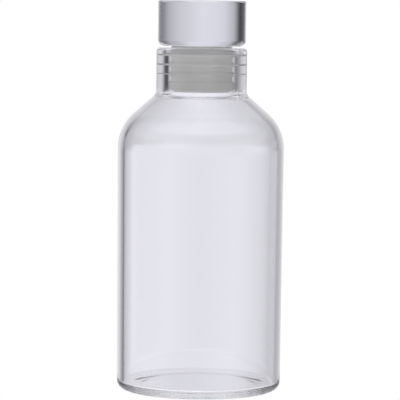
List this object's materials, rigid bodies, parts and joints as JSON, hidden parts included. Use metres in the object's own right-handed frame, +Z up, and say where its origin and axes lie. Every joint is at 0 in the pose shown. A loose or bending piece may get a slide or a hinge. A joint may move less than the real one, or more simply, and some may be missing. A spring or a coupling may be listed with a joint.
{
  "type": "glass water bottle",
  "caption": "Clear cylindrical glass water bottle with a domed shoulder, short thick neck and a clear knob on a ribbed push-in stopper.",
  "frame": {"origin": "centre of the base, on the surface that the bottle stands on", "axes": "+Z up along the bottle's axis, from the base to the knob; every piece is turned about it, so +X and +Y are alike"},
  "size_m": [0.07, 0.07, 0.1641],
  "materials": {
    "clear_glass": "clear, fire-polished, faint cool tint",
    "clear_acrylic": "clear, polished, faint cool tint",
    "translucent_moulding": "natural translucent moulding, satin",
    "grey_silicone": "translucent grey-white silicone, satin"
  },
  "bodies": {
    "bottle": {"glass_bottle": "clear_glass"},
    "stopper": {"cap_knob": "clear_acrylic", "plug_core": "translucent_moulding", "seal_sleeve": "grey_silicone"}
  },
  "joints": [
    {"name": "stopper_pull", "type": "slide", "parent": "bottle", "child": "stopper", "axis": [0, 0, 1], "range_m": [0, 0.06]}
  ]
}
